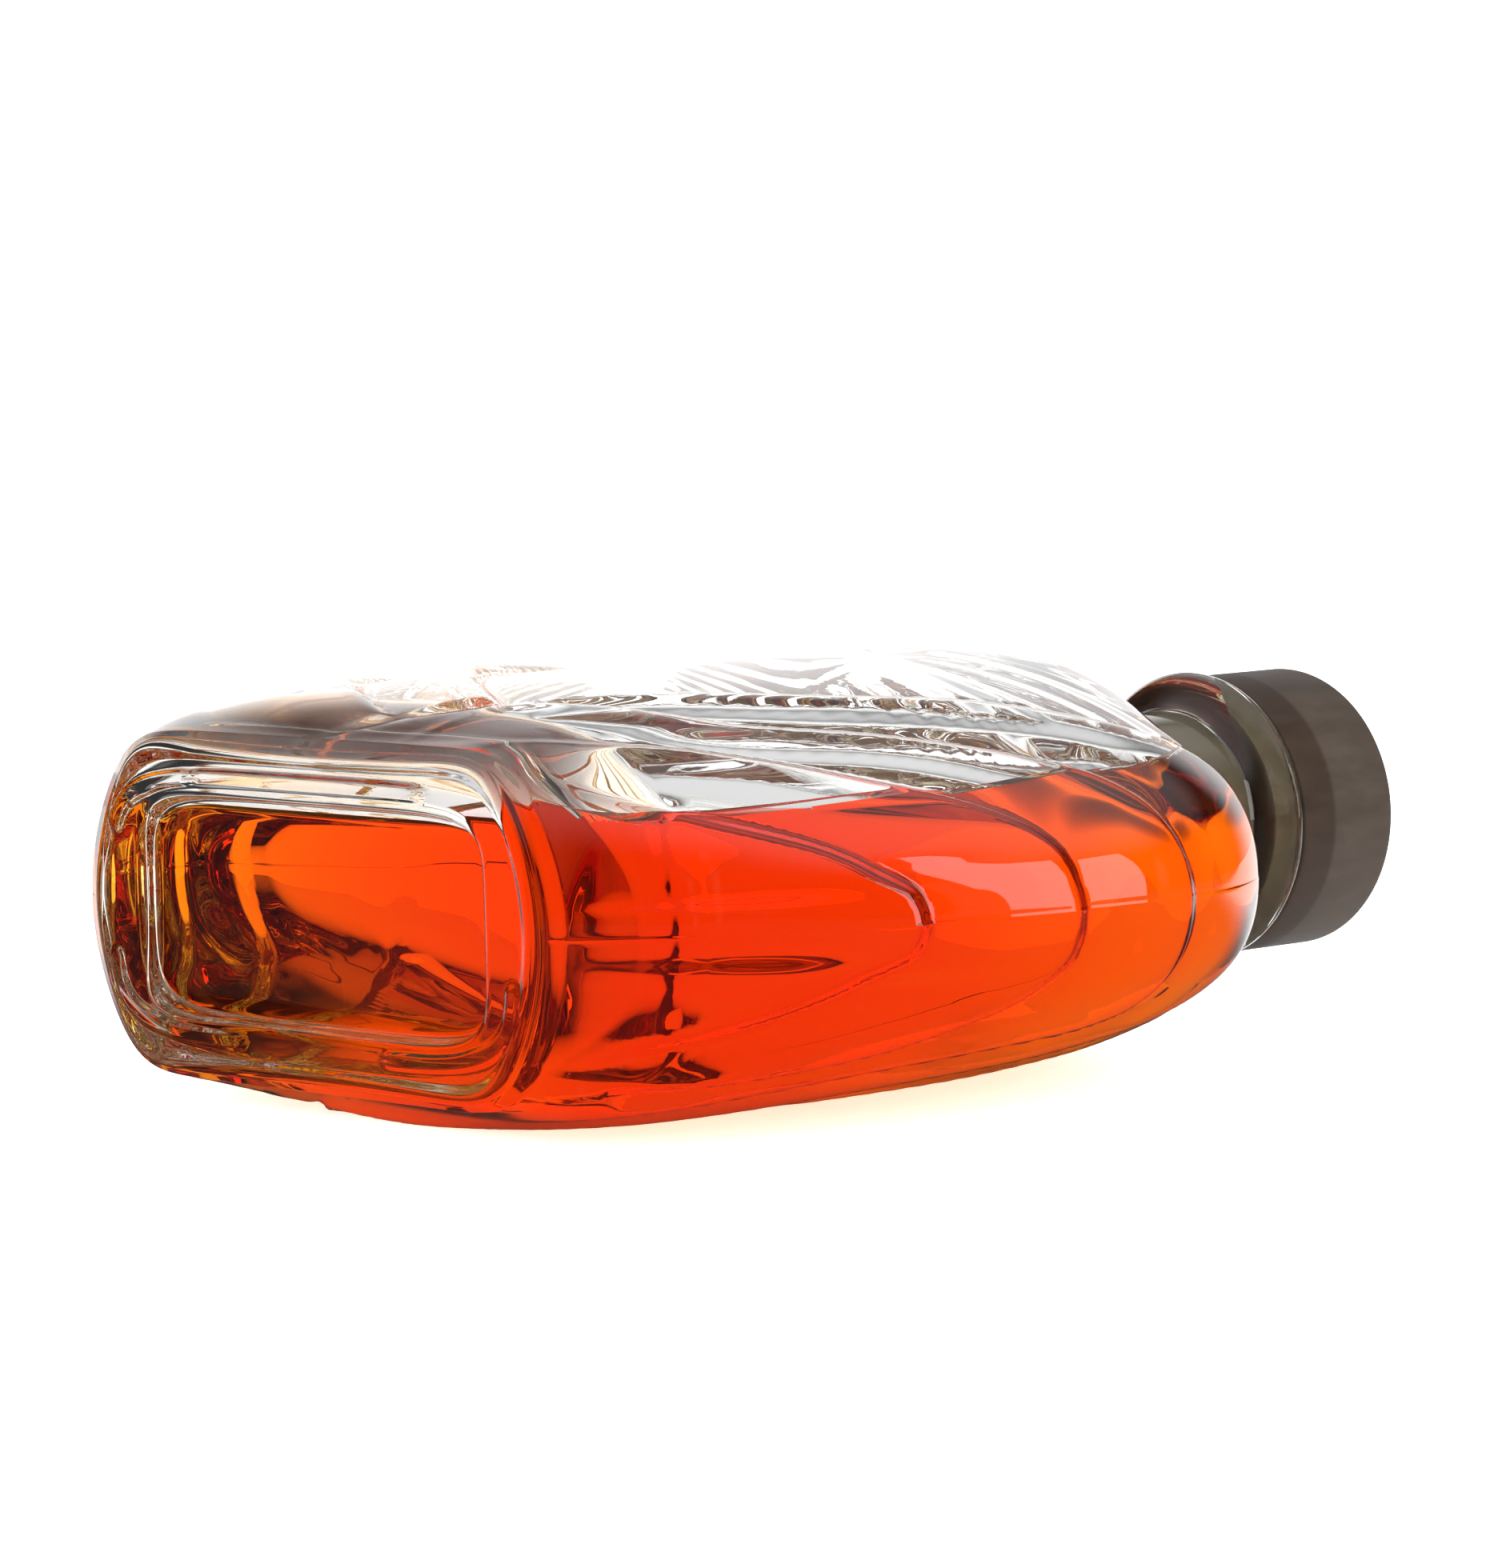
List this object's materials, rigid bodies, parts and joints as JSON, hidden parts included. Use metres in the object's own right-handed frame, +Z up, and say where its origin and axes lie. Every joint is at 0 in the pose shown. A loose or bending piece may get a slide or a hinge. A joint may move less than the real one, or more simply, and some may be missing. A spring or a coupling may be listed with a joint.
{
  "type": "stoppered glass flask of brandy",
  "caption": "Decanter flask of clear pressed glass with overlapping petals, full of brandy, closed by a dark stopper and lying on one broad face.",
  "frame": {"origin": "centre of the bounding box's underside, on the surface that the flask lies on", "axes": "+X along the flask's axis from the base to the stopper, +Y across its width, +Z up through its thickness"},
  "size_m": [0.2134, 0.1748, 0.0647],
  "materials": {
    "clear_glass": "polished",
    "brandy": "clear amber liquid",
    "dark_wood": "matte"
  },
  "bodies": {
    "root": {"glass_bottle": "clear_glass", "liquor": "brandy", "stopper": "dark_wood"}
  },
  "joints": []
}
